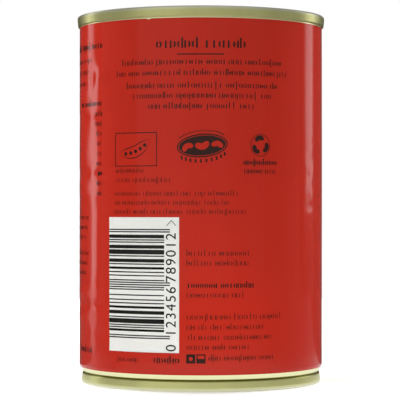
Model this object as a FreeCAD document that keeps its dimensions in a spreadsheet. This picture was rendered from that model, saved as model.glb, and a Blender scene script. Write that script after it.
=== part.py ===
"""A 400 g food can, 73 mm across and 110 mm high, as a parametric FreeCAD document.

The can is made of the pieces that a can maker joins:
  can_body    the filled tinplate cylinder, necked in at its foot so that cans stack
  top_end     the pressed lid: double seam, countersink and expansion rings
  bottom_end  the same pressing one size smaller, turned over and seamed to the neck
  label       the paper wrapped round the body and turned in a little with the neck

+Z is up, the origin is the centre of the ring that the can stands on, and sizes are in
millimetres. A shut can shows nothing of its inside, so can_body is solid. Every piece is a
PartDesign body: one outline, drawn as a constrained sketch, turned once round the Z axis.
"""

import FreeCAD, Part
import math
import os
from types import SimpleNamespace

import Sketcher

OUTPUT_FOLDER = "parts"
SHEET_NAME = "Sizes"
FULL_TURN = 360
RING_COUNT = 3

# Every size is set here once: its alias in the sheet, its value and what it measures.
SIZES = [
    ("can_height", 110.0, "ground to the crown of the top seam"),
    ("body_radius", 36.6, "outside of the tinplate cylinder"),
    ("plate", 0.2, "tinplate wall standing up round each end"),
    ("neck_height", 3.4, "height in which the neck curves in"),
    ("stack_clearance", 0.15, "play of a bottom seam inside the top seam of the can below"),
    ("seam_height", 3.05, "length of a double seam"),
    ("seam_thickness", 1.15, "double seam measured across its crown"),
    ("seam_overhang", 0.8, "how far a seam stands out from the wall that it holds"),
    ("seam_belly", 1.1, "depth of a seam's widest place below its crown"),
    ("seam_taper", 0.2, "how far a seam leans in between its belly and its lip"),
    ("crown_round", 0.42, "rounding of a seam's crown"),
    ("lip_round", 0.35, "rounding of a seam's lip"),
    ("sink_drop", 1.15, "countersink floor below the seam's lip"),
    ("sink_width", 1.5, "countersink floor before rounding"),
    ("sink_lean", 0.35, "how far the countersink's outer wall leans in"),
    ("sink_round", 0.5, "rounding of the countersink"),
    ("panel_rise", 0.9, "panel above the countersink floor"),
    ("panel_lean", 0.5, "how far the panel's wall leans in"),
    ("panel_round", 0.35, "rounding of the panel and of its rings"),
    ("end_plate", 0.3, "metal below the countersink floor"),
    ("ring_margin", 2.6, "panel edge to the first expansion ring"),
    ("ring_width", 0.8, "flat crest of an expansion ring"),
    ("ring_rise", 0.45, "expansion ring above the panel, and the run of its slopes"),
    ("ring_pitch", 4.2, "one expansion ring to the next"),
    ("paper", 0.1, "thickness of the label"),
    ("label_gap", 0.35, "bare metal between the top seam and the label"),
    ("label_foot", 4.9, "lower edge of the label above the ground"),
]


class Length:
    """A number together with the sheet expression that gives it, so that whatever is worked
    out from the sizes stays bound to the sheet."""

    def __init__(self, number, text):
        self.number = number
        self.text = text

    def __add__(self, other):
        return Length(self.number + other.number, f"({self.text} + {other.text})")

    def __sub__(self, other):
        return Length(self.number - other.number, f"({self.text} - {other.text})")

    def __mul__(self, times):
        return Length(self.number * times, f"({self.text} * {times})")

    def __neg__(self):
        return Length(-self.number, f"(-{self.text})")

    def squared(self):
        return Length(self.number**2, f"({self.text} ^ 2)")

    def over(self, other):
        return Length(self.number / other.number, f"({self.text} / {other.text})")


AXIS = Length(0.0, "0")
GROUND = Length(0.0, "0")


def make_sheet(document):
    """The spreadsheet that drives the model: meanings in column A, plain numbers in column B.
    Gives each alias back as a Length, with the lengths that several pieces share."""
    sheet = document.addObject("Spreadsheet::Sheet", SHEET_NAME)
    sizes = SimpleNamespace()
    for row, (alias, value, meaning) in enumerate(SIZES, start=1):
        sheet.set(f"A{row}", meaning)
        sheet.set(f"B{row}", str(value))
        sheet.setAlias(f"B{row}", alias)
        setattr(sizes, alias, Length(value, f"{SHEET_NAME}.{alias}"))
    document.recompute()
    # The bottom seam drops into the top seam of the can below, so the neck comes in by one
    # seam thickness and the play. It is one arc that starts level with the straight wall.
    neck_inset = sizes.seam_thickness + sizes.stack_clearance
    bend = (neck_inset.squared() + sizes.neck_height.squared()).over(neck_inset * 2)
    sizes.neck_radius = sizes.body_radius - neck_inset
    sizes.neck_top = sizes.seam_height + sizes.neck_height
    sizes.neck_centre = (sizes.body_radius - bend, sizes.neck_top)
    sizes.sink_depth = sizes.seam_height + sizes.sink_drop
    sizes.end_depth = sizes.sink_depth + sizes.end_plate
    return sizes


class Outline:
    """A closed outline in the XZ plane, given corner by corner, that is turned into a body."""

    def __init__(self, document, label):
        self.document = document
        self.body = document.addObject("PartDesign::Body", label)
        self.body.Label = label
        self.corners = []

    def corner(self, radius, height, rounding=None, centre=None, slides=False):
        """Adds the next corner. rounding is a fillet radius there. centre makes the edge that
        arrives there an arc about that point. A corner that slides is set by its height alone,
        because the arc beside it gives its radius."""
        self.corners.append(
            SimpleNamespace(
                radius=radius,
                height=height,
                rounding=rounding,
                centre=centre,
                slides=slides,
                point=FreeCAD.Vector(radius.number, height.number, 0),
            )
        )

    def draw(self):
        """Draws the outline as a fully constrained sketch on the body's own XZ plane."""
        sketch = self.body.newObject("Sketcher::SketchObject", f"{self.body.Label}_outline")
        planes = [plane for plane in self.body.Origin.OriginFeatures if plane.Role == "XZ_Plane"]
        sketch.AttachmentSupport = [(planes[0], "")]
        sketch.MapMode = "FlatFace"
        self.find_fillets()
        for number, corner in enumerate(self.corners):
            self.add_edge(sketch, self.corners[number - 1], corner)
        for number, corner in enumerate(self.corners):
            following = self.corners[(number + 1) % len(self.corners)]
            if corner.rounding:
                anchor = self.add_fillet(sketch, corner, following)
            else:
                joint = (corner.edge, corner.edge_end, following.edge, following.edge_start)
                sketch.addConstraint(Sketcher.Constraint("Coincident", *joint))
                anchor = (corner.edge, corner.edge_end)
            if not corner.slides:
                self.drive(sketch, "DistanceX", anchor, corner.radius)
            self.drive(sketch, "DistanceY", anchor, corner.height)
        return sketch

    def find_fillets(self):
        """Works out where the edges at a rounded corner meet its fillet."""
        for number, corner in enumerate(self.corners):
            corner.arrives = corner.point
            corner.leaves = corner.point
            if corner.rounding:
                following = self.corners[(number + 1) % len(self.corners)]
                before = (self.corners[number - 1].point - corner.point).normalize()
                after = (following.point - corner.point).normalize()
                half_angle = before.getAngle(after) / 2
                reach = corner.rounding.number / math.tan(half_angle)
                to_centre = (before + after).normalize() * (reach / math.cos(half_angle))
                corner.arrives = corner.point + before * reach
                corner.leaves = corner.point + after * reach
                corner.fillet_centre = corner.point + to_centre

    def add_edge(self, sketch, previous, corner):
        """The line or arc that arrives at a corner. Notes its number and which end is which."""
        if corner.centre is None:
            corner.edge = sketch.addGeometry(Part.LineSegment(previous.leaves, corner.arrives))
            corner.edge_start = 1
            corner.edge_end = 2
            return
        across, up = corner.centre
        centre = FreeCAD.Vector(across.number, up.number, 0)
        set_end = previous.leaves if corner.slides else corner.arrives
        edge = self.add_arc(sketch, centre, (set_end - centre).Length, previous.leaves, corner.arrives)
        corner.edge, corner.edge_start, corner.edge_end = edge
        self.drive(sketch, "DistanceX", (corner.edge, 3), across)
        self.drive(sketch, "DistanceY", (corner.edge, 3), up)

    def add_fillet(self, sketch, corner, following):
        """An arc tangent to both edges of a corner, whose sharp point stays as construction."""
        radius = corner.rounding.number
        fillet, start, end = self.add_arc(
            sketch, corner.fillet_centre, radius, corner.arrives, corner.leaves
        )
        sharp = sketch.addGeometry(Part.Point(corner.point), True)
        sketch.addConstraint(
            [
                Sketcher.Constraint("Tangent", corner.edge, corner.edge_end, fillet, start),
                Sketcher.Constraint("Tangent", fillet, end, following.edge, following.edge_start),
                Sketcher.Constraint("PointOnObject", sharp, 1, corner.edge),
                Sketcher.Constraint("PointOnObject", sharp, 1, following.edge),
            ]
        )
        number = sketch.addConstraint(Sketcher.Constraint("Radius", fillet, radius))
        sketch.setExpression(f"Constraints[{number}]", corner.rounding.text)
        return (sharp, 1)

    def add_arc(self, sketch, centre, radius, first, last):
        """The short arc from first to last. Gives its number and the ids of those two ends."""
        first_angle = math.atan2(first.y - centre.y, first.x - centre.x)
        last_angle = math.atan2(last.y - centre.y, last.x - centre.x)
        circle = Part.Circle(centre, FreeCAD.Vector(0, 0, 1), radius)
        if math.sin(last_angle - first_angle) > 0:
            return sketch.addGeometry(Part.ArcOfCircle(circle, first_angle, last_angle)), 1, 2
        return sketch.addGeometry(Part.ArcOfCircle(circle, last_angle, first_angle)), 2, 1

    def drive(self, sketch, kind, anchor, length):
        """Holds a point at a distance from the sketch's origin, bound to the sheet."""
        if length.text == AXIS.text:
            axis_line = -2 if kind == "DistanceX" else -1
            sketch.addConstraint(Sketcher.Constraint("PointOnObject", *anchor, axis_line))
            return
        number = sketch.addConstraint(Sketcher.Constraint(kind, -1, 1, *anchor, length.number))
        sketch.setExpression(f"Constraints[{number}]", length.text)

    def turn(self):
        """Turns the outline once round the Z axis and gives the body back."""
        sketch = self.draw()
        self.document.recompute()
        turned = self.body.newObject("PartDesign::Revolution", f"{self.body.Label}_turned")
        turned.Profile = sketch
        turned.ReferenceAxis = (sketch, ["V_Axis"])
        turned.Angle = FULL_TURN
        self.body.Tip = turned
        self.document.recompute()
        return self.body


def make_can_body(document, sizes):
    """The filled cylinder. At each end its plate stands up as a thin wall round the end's
    countersink, as the tinplate does where it goes into the seam."""
    outline = Outline(document, "can_body")
    top_lip = sizes.can_height - sizes.seam_height
    top_floor = sizes.can_height - sizes.end_depth
    outline.corner(AXIS, sizes.end_depth)
    outline.corner(sizes.neck_radius - sizes.plate, sizes.end_depth)
    outline.corner(sizes.neck_radius - sizes.plate, sizes.seam_height)
    outline.corner(sizes.neck_radius, sizes.seam_height, slides=True)
    outline.corner(sizes.body_radius, sizes.neck_top, centre=sizes.neck_centre)
    outline.corner(sizes.body_radius, top_lip)
    outline.corner(sizes.body_radius - sizes.plate, top_lip)
    outline.corner(sizes.body_radius - sizes.plate, top_floor)
    outline.corner(AXIS, top_floor)
    return outline.turn()


def make_end(document, sizes, label, wall_radius):
    """A can end with its crown at height nought and its countersink below. wall_radius is the
    outside of the tinplate that its seam is rolled on to."""
    outline = Outline(document, label)
    lip = -sizes.seam_height
    sink = -sizes.sink_depth
    panel = sink + sizes.panel_rise
    crest = panel + sizes.ring_rise
    seam_outer = wall_radius + sizes.seam_overhang
    seam_inner = seam_outer - sizes.seam_thickness
    sink_outer = seam_inner - sizes.sink_lean
    sink_inner = sink_outer - sizes.sink_width
    panel_edge = sink_inner - sizes.panel_lean
    outline.corner(AXIS, -sizes.end_depth)
    outline.corner(wall_radius - sizes.plate, -sizes.end_depth)
    outline.corner(wall_radius - sizes.plate, lip)
    outline.corner(seam_outer - sizes.seam_taper, lip, rounding=sizes.lip_round)
    outline.corner(seam_outer, -sizes.seam_belly)
    outline.corner(seam_outer, GROUND, rounding=sizes.crown_round)
    outline.corner(seam_inner, GROUND, rounding=sizes.crown_round)
    outline.corner(sink_outer, sink, rounding=sizes.sink_round)
    outline.corner(sink_inner, sink, rounding=sizes.sink_round)
    outline.corner(panel_edge, panel, rounding=sizes.panel_round)
    for ring in range(RING_COUNT):
        foot = panel_edge - sizes.ring_margin - sizes.ring_pitch * ring
        crest_outer = foot - sizes.ring_rise
        crest_inner = crest_outer - sizes.ring_width
        outline.corner(foot, panel, rounding=sizes.panel_round)
        outline.corner(crest_outer, crest, rounding=sizes.panel_round)
        outline.corner(crest_inner, crest, rounding=sizes.panel_round)
        outline.corner(crest_inner - sizes.ring_rise, panel, rounding=sizes.panel_round)
    outline.corner(AXIS, panel)
    return outline.turn()


def make_label(document, sizes):
    """The paper tube: straight along the body, and following the first curve of the neck."""
    outline = Outline(document, "label")
    head = sizes.can_height - sizes.seam_height - sizes.label_gap
    inside = sizes.body_radius
    outside = sizes.body_radius + sizes.paper
    outline.corner(inside, sizes.label_foot, slides=True)
    outline.corner(inside, sizes.neck_top, centre=sizes.neck_centre)
    outline.corner(inside, head)
    outline.corner(outside, head)
    outline.corner(outside, sizes.neck_top)
    outline.corner(outside, sizes.label_foot, centre=sizes.neck_centre, slides=True)
    return outline.turn()


def check(document, pieces):
    """Stops the build if an object failed or a piece isn't one valid solid."""
    for thing in document.Objects:
        if {"Invalid", "Error"} & set(thing.State):
            raise RuntimeError(f"{thing.Label} failed: {thing.State}")
    for piece in pieces:
        if piece.Shape.isNull() or not piece.Shape.isValid() or len(piece.Shape.Solids) != 1:
            raise RuntimeError(f"{piece.Label} is not one valid solid")


def export(pieces):
    """Writes each piece to a STEP file named after its label."""
    os.makedirs(OUTPUT_FOLDER, exist_ok=True)
    for piece in pieces:
        piece.Shape.exportStep(os.path.join(OUTPUT_FOLDER, f"{piece.Label}.step"))
        box = piece.Shape.optimalBoundingBox(False)
        print(
            f"{piece.Label}: {box.XLength:.2f} mm across, from {box.ZMin:.2f} to {box.ZMax:.2f} mm,"
            f" {piece.Shape.Volume / 1000:.2f} cm3"
        )


def main():
    document = FreeCAD.newDocument("FoodCan")
    sizes = make_sheet(document)
    can_body = make_can_body(document, sizes)
    label = make_label(document, sizes)
    top_end = make_end(document, sizes, "top_end", sizes.body_radius)
    top_end.setExpression("Placement.Base.z", sizes.can_height.text)
    bottom_end = make_end(document, sizes, "bottom_end", sizes.neck_radius)
    bottom_end.Placement.Rotation = FreeCAD.Rotation(FreeCAD.Vector(1, 0, 0), FULL_TURN / 2)
    document.recompute()
    pieces = [can_body, label, top_end, bottom_end]
    check(document, pieces)
    export(pieces)


main()
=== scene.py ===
# %% [markdown]
# # A 400 g can of beans
# A food can is four things: a tinplate cylinder, two pressed ends that are rolled on to it, and
# a printed paper label. The CAD model already holds their true sizes, so this lesson dresses
# it: it keeps the steel parts and lacquers them, and it replaces the plain paper tube with real
# paper that wrinkles, is varnished and is printed. The first cell loads the CAD frame.

# %% Load the frame
import math

import bmesh
import bpy
import mathutils
import numpy as np
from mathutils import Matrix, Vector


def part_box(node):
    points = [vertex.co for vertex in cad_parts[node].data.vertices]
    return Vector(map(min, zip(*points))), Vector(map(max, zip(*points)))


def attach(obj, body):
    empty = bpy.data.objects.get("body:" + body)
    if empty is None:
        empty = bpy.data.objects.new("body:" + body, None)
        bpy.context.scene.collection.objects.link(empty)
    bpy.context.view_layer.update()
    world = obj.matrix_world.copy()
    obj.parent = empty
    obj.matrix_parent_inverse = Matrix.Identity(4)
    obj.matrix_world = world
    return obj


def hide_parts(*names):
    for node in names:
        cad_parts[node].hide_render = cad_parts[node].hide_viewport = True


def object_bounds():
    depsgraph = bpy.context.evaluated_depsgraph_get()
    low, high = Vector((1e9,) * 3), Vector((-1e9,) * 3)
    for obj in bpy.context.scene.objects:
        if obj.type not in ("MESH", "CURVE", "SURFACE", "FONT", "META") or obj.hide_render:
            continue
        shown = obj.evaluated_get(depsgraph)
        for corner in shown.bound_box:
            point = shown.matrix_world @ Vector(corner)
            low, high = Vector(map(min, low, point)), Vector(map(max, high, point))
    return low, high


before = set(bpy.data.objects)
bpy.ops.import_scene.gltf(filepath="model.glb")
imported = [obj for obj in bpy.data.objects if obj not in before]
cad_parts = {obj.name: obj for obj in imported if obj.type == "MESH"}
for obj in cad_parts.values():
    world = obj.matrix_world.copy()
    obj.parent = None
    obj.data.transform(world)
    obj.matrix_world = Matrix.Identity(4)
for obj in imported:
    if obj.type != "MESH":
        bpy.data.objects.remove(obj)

MM = 0.001
ROOT = "root"
cad_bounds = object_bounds()
can_height = cad_bounds[1].z
print("CAD box in mm:", [[round(c / MM, 2) for c in corner] for corner in cad_bounds])

# %% [markdown]
# ## The camera
# A can is a cylinder, so the curve of its two seams tells how high and how far off the viewer
# is. The upper seam arches up and the lower one sags, so the eye is level with a point a little
# under the middle, and close: about five can heights away. A short lens nearer to the can would
# fill the frame as well, but it would curve the seams more and show less of the sides.

# %% Camera
CAMERA_DISTANCE = 555.6 * MM
CAMERA_HEIGHT = 52.5 * MM
CAMERA_ASIDE = -0.27 * MM
LOOKS_UP = math.radians(0.245)
FOCAL_LENGTH = 164.5
SENSOR_WIDTH = 36

camera_data = bpy.data.cameras.new("camera")
camera_data.lens = FOCAL_LENGTH
camera_data.sensor_width = SENSOR_WIDTH
camera = bpy.data.objects.new("camera", camera_data)
camera.location = (CAMERA_ASIDE, -CAMERA_DISTANCE, CAMERA_HEIGHT)
camera.rotation_euler = (math.radians(90) + LOOKS_UP, 0, 0)
bpy.context.scene.collection.objects.link(camera)
bpy.context.scene.camera = camera
bpy.context.scene.view_settings.view_transform = "Standard"
print("camera distance in can heights:", round(CAMERA_DISTANCE / can_height, 2))

# %% [markdown]
# ## Small helpers for materials
# Every material below is a tree of shader nodes. It could be wired by hand, node by node. Two
# helpers keep the trees shorter: one makes an empty material, and the other adds a node and fills
# its inputs, each from a value or from another node's output. The numbers that are the same all
# over a surface go straight into the shader's own sockets.


# %% Node helpers
def new_material(name):
    """An empty node material with its output node."""
    material = bpy.data.materials.new(name)
    material.use_nodes = True
    tree = material.node_tree
    tree.nodes.clear()
    return material, tree, tree.nodes.new("ShaderNodeOutputMaterial")


def add_node(tree, kind, inputs=None, **settings):
    """Adds a node, sets its properties and then its inputs, by name or by number."""
    node = tree.nodes.new(kind)
    for key, value in settings.items():
        setattr(node, key, value)
    for key, value in (inputs or {}).items():
        if isinstance(value, bpy.types.NodeSocket):
            tree.links.new(value, node.inputs[key])
        else:
            node.inputs[key].default_value = value
    return node


def colour(red, green, blue):
    """A linear colour with full alpha."""
    return (red, green, blue, 1.0)


def noise(tree, where, scale, detail=3.0, roughness=0.55):
    """The factor of a noise texture read at a place."""
    node = add_node(
        tree,
        "ShaderNodeTexNoise",
        {"Vector": where, "Scale": scale, "Detail": detail, "Roughness": roughness},
    )
    return node.outputs["Fac"]


def spread(tree, factor, low, high):
    """Maps a factor from 0..1 to low..high."""
    node = add_node(
        tree, "ShaderNodeMapRange", {"Value": factor, "To Min": low, "To Max": high}
    )
    return node.outputs["Result"]


def blend(tree, factor, first, second):
    """A mix of two colours, each a value or a socket. The colour mode of this node has its
    factor, its two colours and its result at sockets 0, 6, 7 and 2."""
    inputs = {0: factor, 6: first, 7: second}
    return add_node(tree, "ShaderNodeMix", inputs, data_type="RGBA").outputs[2]


# %% [markdown]
# ## The studio
# A glossy can shows the room it stands in, so a whole product studio is built round it. A
# picture of a real studio, wrapped round the world, would be the quick way, but then no streak of
# light could be moved alone. One helper below turns a drawing function into an object, and the
# table, the cards and later the print are all made with it.


# %% Mesh helpers
def link(thing):
    """Puts an object into the scene."""
    bpy.context.scene.collection.objects.link(thing)
    return thing


def mesh_object(name, build, materials=()):
    """A mesh object whose shape a function draws into a bmesh."""
    mesh = bpy.data.meshes.new(name)
    bm = bmesh.new()
    build(bm)
    bm.to_mesh(mesh)
    bm.free()
    for material in materials:
        mesh.materials.append(material)
    return link(bpy.data.objects.new(name, mesh))


# %% [markdown]
# The can stands in the middle of a small, round, pale table. A plane without end would be
# simpler, but its far part would show as a grey horizon in the gloss. Where the table is seen, a
# faint glow lifts it towards white. The glow lights nothing, and the can's shadow stays.

# %% Table finish
TABLE_LIFT = 0.25
TABLE_CLOUD = 8.0
TABLE_DARK = (0.86, 0.86, 0.845)
TABLE_PALE = (0.90, 0.90, 0.885)
TABLE_ROUGHNESS = 0.2


def seen_rays(tree):
    """One for the rays that show a thing: straight from the eye, in gloss and through glass."""
    ray = add_node(tree, "ShaderNodeLightPath").outputs
    shown = ray["Is Camera Ray"]
    for kind in ("Is Glossy Ray", "Is Transmission Ray"):
        both = add_node(tree, "ShaderNodeMath", {0: shown, 1: ray[kind]}, operation="MAXIMUM")
        shown = both.outputs[0]
    return shown


def table_material():
    """Pale laminate. It is seen lifted towards white, and its shadows stay."""
    material, tree, output = new_material("pale_table")
    where = add_node(tree, "ShaderNodeTexCoord").outputs["Object"]
    cloud = noise(tree, where, TABLE_CLOUD)
    tone = blend(tree, cloud, colour(*TABLE_DARK), colour(*TABLE_PALE))
    diffuse = add_node(
        tree, "ShaderNodeBsdfDiffuse", {"Color": tone, "Roughness": TABLE_ROUGHNESS}
    )
    glow = add_node(
        tree, "ShaderNodeEmission", {"Color": colour(1, 1, 1), "Strength": TABLE_LIFT}
    )
    lifted = add_node(tree, "ShaderNodeAddShader", {0: diffuse.outputs[0], 1: glow.outputs[0]})
    surface = add_node(
        tree,
        "ShaderNodeMixShader",
        {0: seen_rays(tree), 1: diffuse.outputs[0], 2: lifted.outputs[0]},
    )
    tree.links.new(surface.outputs[0], output.inputs["Surface"])
    return material


# %% Table
TABLE_RADIUS = 500 * MM
TABLE_EDGE = 12 * MM
TABLE_SEGMENTS = 128


def draw_table(bm):
    """A round top whose rim slopes down."""
    bmesh.ops.create_circle(bm, cap_ends=True, radius=TABLE_RADIUS, segments=TABLE_SEGMENTS)
    rim = [edge for edge in bm.edges if edge.is_boundary]
    skirt = bmesh.ops.extrude_edge_only(bm, edges=rim)["geom"]
    for vertex in skirt:
        if isinstance(vertex, bmesh.types.BMVert):
            vertex.co *= (TABLE_RADIUS + TABLE_EDGE) / TABLE_RADIUS
            vertex.co.z = -TABLE_EDGE


table = mesh_object("table", draw_table, [table_material()])
print("table reaches", TABLE_RADIUS / MM, "mm from the can's axis")

# %% [markdown]
# ## World and lamps
# The world gives the soft light that comes from everywhere. Seen straight, in gloss or through
# glass it is plain white, but it lights as a softer grey. One strength for both would either wash
# the can out or leave the background dull.

# %% World
SKY_SOFT = 0.38


def make_world():
    """White where it is seen, and a softer grey where it lights."""
    world = bpy.data.worlds.new("studio")
    bpy.context.scene.world = world
    world.use_nodes = True
    tree = world.node_tree
    tree.nodes.clear()
    strength = spread(tree, seen_rays(tree), SKY_SOFT, 1.0)
    background = add_node(
        tree, "ShaderNodeBackground", {"Color": colour(1, 1, 1), "Strength": strength}
    )
    output = tree.nodes.new("ShaderNodeOutputWorld")
    tree.links.new(background.outputs[0], output.inputs["Surface"])


make_world()
print("the world lights at", SKY_SOFT, "of the white that it shows")

# %% [markdown]
# Two narrow softboxes stand a little behind the can, one on each side, and draw the long streaks
# near its edges. Four big lamps hang above, and a narrow one lies low in front for the light that
# a white table throws back. These five light the print and the metal and don't show in the gloss.
# Spot lamps could do the same work, but their shadows would be hard. Directions are given in
# degrees round the can from the viewer, and positive ones are to the right.

# %% Lamps
SOFTBOX_AWAY = 600 * MM
OVERHEAD_AWAY = 1000 * MM
BOUNCE_DEPTH = 14 * MM
BOUNCE_HEIGHT = 4 * MM
BOUNCE_TILT = 105
LABEL_OUT = 36.7 * MM


def direction(azimuth):
    """The level direction at an azimuth, as x and y."""
    turn = math.radians(azimuth)
    return math.sin(turn), -math.cos(turn)


def area_lamp(name, width, tall, power, in_gloss):
    """A flat lamp that the camera doesn't see. It may show in gloss."""
    lamp = bpy.data.lights.new(name, "AREA")
    lamp.shape = "RECTANGLE"
    lamp.size = width
    lamp.size_y = tall
    lamp.energy = power
    box = bpy.data.objects.new(name, lamp)
    box.visible_camera = False
    box.visible_glossy = in_gloss
    return link(box)


def softbox(name, azimuth, low, high, width, power):
    """An upright lamp that faces the can's axis. Its foot and head are heights."""
    box = area_lamp(name, width, high - low, power, in_gloss=True)
    x, y = direction(azimuth)
    box.location = (x * SOFTBOX_AWAY, y * SOFTBOX_AWAY, (low + high) / 2)
    box.rotation_euler = (math.radians(90), 0, math.radians(azimuth))


def overhead(name, azimuth, elevation, size, power):
    """A square lamp above the can, aimed at its middle. It doesn't show in gloss."""
    box = area_lamp(name, size, size, power, in_gloss=False)
    x, y = direction(azimuth)
    level = OVERHEAD_AWAY * math.cos(math.radians(elevation))
    up = OVERHEAD_AWAY * math.sin(math.radians(elevation))
    box.location = (x * level, y * level, can_height / 2 + up)
    box.rotation_euler = (math.radians(90 - elevation), 0, math.radians(azimuth))


def bounce(name, in_front, width, power):
    """A narrow lamp low before the can, tilted up."""
    box = area_lamp(name, width, BOUNCE_DEPTH, power, in_gloss=False)
    box.location = (0, -LABEL_OUT - in_front, BOUNCE_HEIGHT)
    box.rotation_euler = (math.radians(BOUNCE_TILT), 0, 0)


softbox("left_strip", -121.5, low=-62 * MM, high=560 * MM, width=118 * MM, power=0.385)
softbox("right_strip", 120.5, low=56 * MM, high=560 * MM, width=150 * MM, power=0.40)
overhead("key_lamp", -50, elevation=46, size=600 * MM, power=2.7)
overhead("fill_lamp", 45, elevation=50, size=600 * MM, power=0.3)
bounce("table_bounce", in_front=40 * MM, width=200 * MM, power=0.016)
overhead("rim_left", -122, elevation=40, size=500 * MM, power=6.6)
overhead("rim_right", 130, elevation=42, size=500 * MM, power=8.6)
print("lamps:", len(bpy.data.lights))

# %% [markdown]
# ## What the gloss mirrors
# What the varnish and the lacquer mirror is set by grey and bright cards hung round the can, as
# on a real product table. Painted streaks would stay in place when the viewer walks round, and
# real ones don't, so nothing is painted. Each card glows evenly and shows in reflections alone.

# %% Card helpers
CARD_STEP = 4


def glow_only_in_gloss(name, brightness, draw):
    """A plain bright surface that shows in reflections and nowhere else."""
    material, tree, output = new_material(name)
    glow = add_node(
        tree, "ShaderNodeEmission", {"Color": colour(1, 1, 1), "Strength": brightness}
    )
    tree.links.new(glow.outputs[0], output.inputs["Surface"])
    hung = mesh_object(name, draw, [material])
    hung.visible_camera = False
    hung.visible_diffuse = False
    hung.visible_shadow = False
    hung.visible_transmission = False


def arc_card(name, start, end, near, far, brightness):
    """A card that runs round the can from one azimuth to another. near and far give its two
    long edges, each as a radius and a height."""

    def draw(bm):
        steps = max(2, round((end - start) / CARD_STEP))
        columns = []
        for step in range(steps + 1):
            x, y = direction(start + (end - start) * step / steps)
            columns.append([bm.verts.new((x * out, y * out, up)) for out, up in (near, far)])
        for left, right in zip(columns, columns[1:]):
            bm.faces.new((left[0], right[0], right[1], left[1]))

    glow_only_in_gloss(name, brightness, draw)


# %% [markdown]
# The room is two rows of wall cards, one above the other, and a ceiling of two rings. Each card's
# row gives where it starts and ends in degrees, and how bright it is. They are brighter in front
# than behind, so that the can's sides fall off into grey and look round.

# %% Walls and ceiling
WALL_OUT = 1300 * MM
CEILING = 1100 * MM
WALL_FOOT = (WALL_OUT, -1500 * MM)
WALL_MIDDLE = (WALL_OUT, 420 * MM)
WALL_HEAD = (WALL_OUT, CEILING)
CEILING_RING = (700 * MM, CEILING)
CEILING_CENTRE = (0, CEILING)
LOW_CARDS = [
    ("low_back_left", -180, -133, 0.06),
    ("low_side_left", -133, -105, 0.17),
    ("low_turn_left", -105, -60, 0.38),
    ("low_front_left", -60, -15, 0.72),
    ("low_front", -15, 25, 0.58),
    ("low_front_right", 25, 60, 0.46),
    ("low_turn_right", 60, 105, 0.34),
    ("low_side_right", 105, 133, 0.19),
    ("low_back_right", 133, 180, 0.09),
]
HIGH_CARDS = [
    ("high_back_left", -180, -134, 0.10),
    ("high_side_left", -134, -55, 0.30),
    ("high_front_left", -55, -15, 0.6),
    ("high_front", -15, 42, 0.4),
    ("high_side_right", 42, 134, 0.3),
    ("high_back_right", 134, 180, 0.10),
]
for name, start, end, brightness in LOW_CARDS:
    arc_card(name, start, end, WALL_FOOT, WALL_MIDDLE, brightness)
for name, start, end, brightness in HIGH_CARDS:
    arc_card(name, start, end, WALL_MIDDLE, WALL_HEAD, brightness)
arc_card("ceiling_rim", -180, 180, WALL_HEAD, CEILING_RING, 0.30)
arc_card("ceiling_middle", -180, 180, CEILING_RING, CEILING_CENTRE, 0.55)
print("wall cards:", len(LOW_CARDS + HIGH_CARDS))

# %% [markdown]
# The lowest part of the can mirrors the table just before it, which is brighter than the room.
# So a few cards lie on the table like cloths: close ones all round the foot, wide ones in front
# and behind, and a runner where the left softbox lights the table.

# %% Cloths on the table
CLOTH_LIFT = 1 * MM
CLOTH_START = (36.6 * MM, 0.3 * MM)
CLOTH_NEAR = (60 * MM, CLOTH_LIFT)
CLOTH_MIDDLE = (120 * MM, CLOTH_LIFT)
CLOTH_FAR = (TABLE_RADIUS, CLOTH_LIFT)
CLOTHS = [
    ("near_cloth_left", -110, -60, CLOTH_NEAR, CLOTH_MIDDLE, 0.6),
    ("near_cloth", -60, 60, CLOTH_NEAR, CLOTH_MIDDLE, 1.05),
    ("near_cloth_right", 60, 124, CLOTH_NEAR, CLOTH_MIDDLE, 0.6),
    ("foot_cloth", -180, 180, CLOTH_START, CLOTH_NEAR, 0.95),
    ("front_cloth", -110, 124, CLOTH_MIDDLE, CLOTH_FAR, 0.32),
    ("back_cloth", 124, 250, CLOTH_NEAR, CLOTH_FAR, 0.10),
]
RUNNER_LIFT = 2 * MM
RUNNER_BRIGHTNESS = 0.9
RUNNER_CORNERS = ((-101, 26), (-123, 65), (-460, 385), (-560, 265))


def draw_runner(bm):
    """The strip of table that the left softbox lights, as seen low down in the varnish."""
    bm.faces.new([bm.verts.new((x * MM, y * MM, RUNNER_LIFT)) for x, y in RUNNER_CORNERS])


for cloth in CLOTHS:
    arc_card(*cloth)
glow_only_in_gloss("lit_runner", RUNNER_BRIGHTNESS, draw_runner)
print("cloths laid:", len(CLOTHS) + 1)

# %% [markdown]
# ## The paper's surface
# A label is wrapped cold and glued only at two narrow strips, so it never lies quite flat: it
# stands off the tin in shallow bubbles and soft creases, and here one side of it is loose from
# head to foot. The varnish turns each of them into a bend of the highlight. Bump in the material
# would do for the paper alone, but the print has to follow every wrinkle too. So the wrinkles are
# worked out once, as one height over the flat label, and both the paper and everything printed on
# it use it. Flat coordinates are in millimetres: how far round from the middle of the shown side,
# and how high. The first part is a slow unevenness: chance heights with smooth ways between them.

# %% Slow unevenness
BODY_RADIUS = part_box("can_body")[1].x / MM
LABEL_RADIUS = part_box("label")[1].x / MM
LABEL_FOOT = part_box("label")[0].z / MM
LABEL_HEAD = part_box("label")[1].z / MM
ROUND_THE_CAN = 2 * math.pi * LABEL_RADIUS
SPARE_ROWS = 3


def ease(part):
    """A smooth way from 0 to 1 that starts and ends level."""
    return part**3 * (part * (part * 6 - 15) + 10)


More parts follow.
